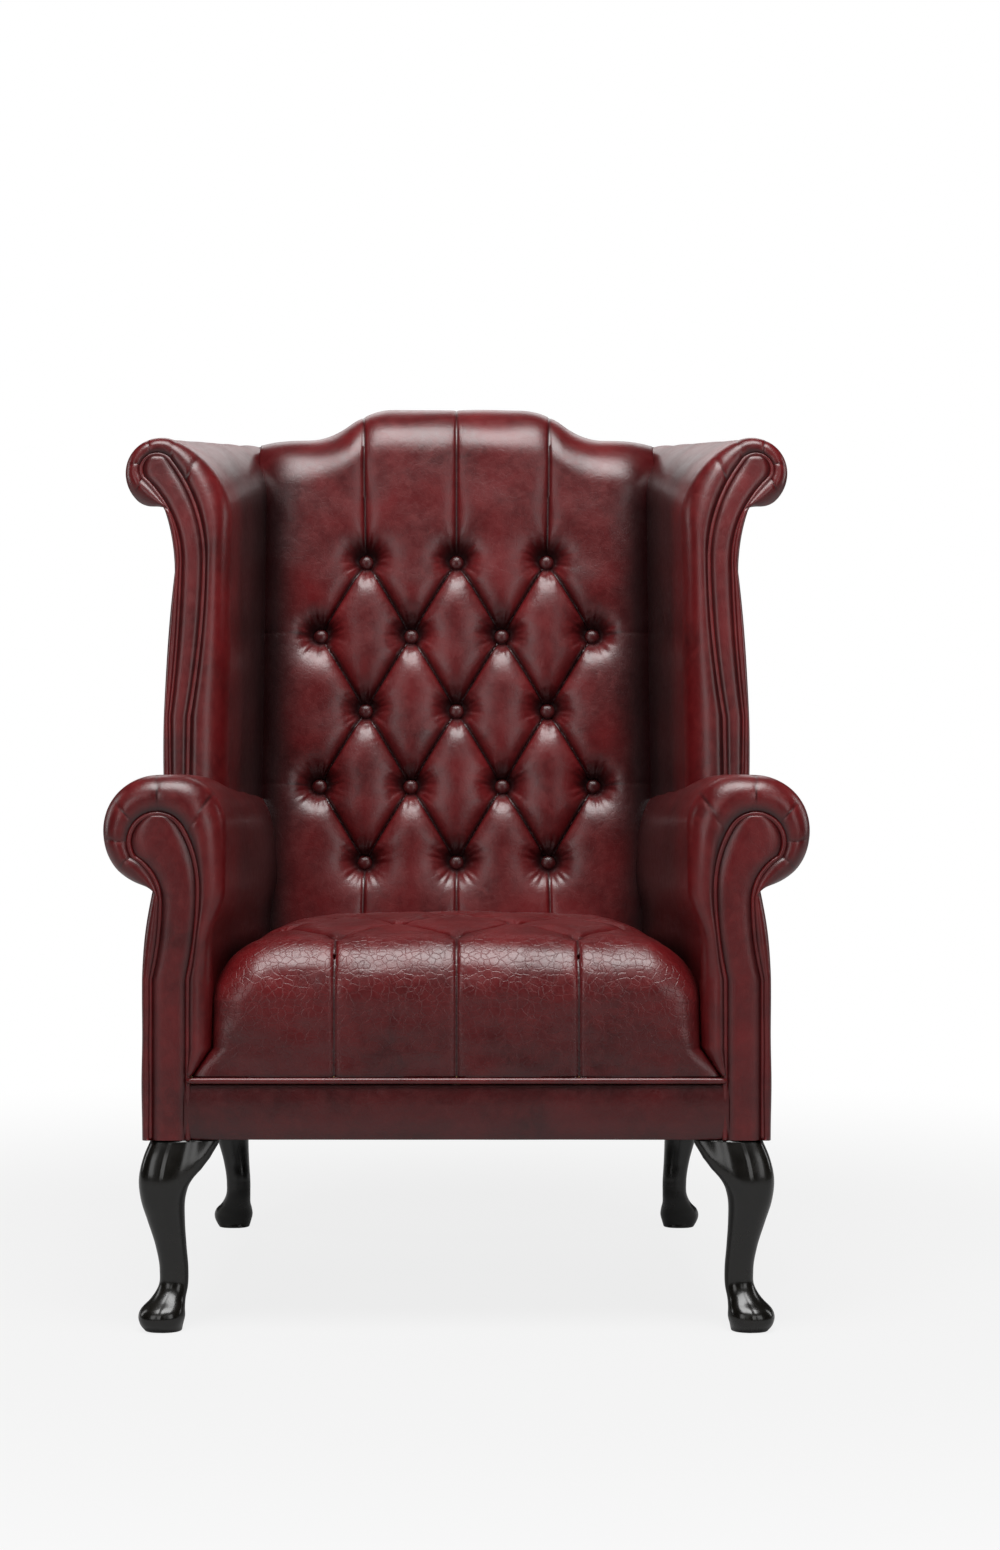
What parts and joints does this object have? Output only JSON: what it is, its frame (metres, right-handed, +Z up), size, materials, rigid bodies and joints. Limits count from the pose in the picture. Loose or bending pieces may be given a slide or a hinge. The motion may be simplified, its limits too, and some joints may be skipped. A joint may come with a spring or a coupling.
{
  "type": "wingback armchair",
  "caption": "Deep-buttoned leather wingback armchair with a camelback crest, scrolled arms and wings, welted facings, a tufted seat and lacquered cabriole legs.",
  "frame": {"origin": "on the floor, under the middle of the chair's bounding box", "axes": "+X towards the sitter's left hand, +Y towards the back of the chair, +Z up; the front faces -Y"},
  "size_m": [0.822, 0.8, 1.138],
  "materials": {
    "hide": "antiqued oxblood leather, dark in the folds, satin",
    "lacquered_legs": "black gloss lacquer over turned and carved beech",
    "frame_timber": "sawn beech, unfinished, inside the covers",
    "springs_and_fixings": "drawn spring steel wire and plain steel fixings",
    "hessian_and_webbing": "woven jute, natural",
    "dust_cover_cloth": "black bottom cloth"
  },
  "bodies": {
    "root": {"seat_pad": "hide", "back_pad": "hide", "back_buttons": "hide", "outside_back": "hide", "front_border": "hide", "seat_welt": "hide", "arm_pad_left": "hide", "arm_pad_right": "hide", "wing_pad_left": "hide", "wing_pad_right": "hide", "outside_arm_left": "hide", "outside_arm_right": "hide", "outside_wing_left": "hide", "outside_wing_right": "hide", "arm_facing_left": "hide", "arm_facing_right": "hide", "wing_facing_left": "hide", "wing_facing_right": "hide", "arm_welt_left": "hide", "arm_welt_right": "hide", "wing_welt_left": "hide", "wing_welt_right": "hide", "front_leg_left": "lacquered_legs", "front_leg_right": "lacquered_legs", "back_leg_left": "lacquered_legs", "back_leg_right": "lacquered_legs", "front_seat_rail": "frame_timber", "back_seat_rail": "frame_timber", "back_stay_rail": "frame_timber", "crest_rail": "frame_timber", "side_seat_rail_left": "frame_timber", "side_seat_rail_right": "frame_timber", "corner_block_front_left": "frame_timber", "corner_block_front_right": "frame_timber", "corner_block_back_left": "frame_timber", "corner_block_back_right": "frame_timber", "arm_post_left": "frame_timber", "arm_post_right": "frame_timber", "arm_scroll_board_left": "frame_timber", "arm_scroll_board_right": "frame_timber", "arm_rail_left": "frame_timber", "arm_rail_right": "frame_timber", "back_post_left": "frame_timber", "back_post_right": "frame_timber", "wing_board_left": "frame_timber", "wing_board_right": "frame_timber", "wing_rail_left": "frame_timber", "wing_rail_right": "frame_timber", "seat_springs": "springs_and_fixings", "spring_clips": "springs_and_fixings", "leg_bolts": "springs_and_fixings", "block_screws": "springs_and_fixings", "spring_cover": "hessian_and_webbing", "back_webbing": "hessian_and_webbing", "dust_cover": "dust_cover_cloth"}
  },
  "joints": []
}
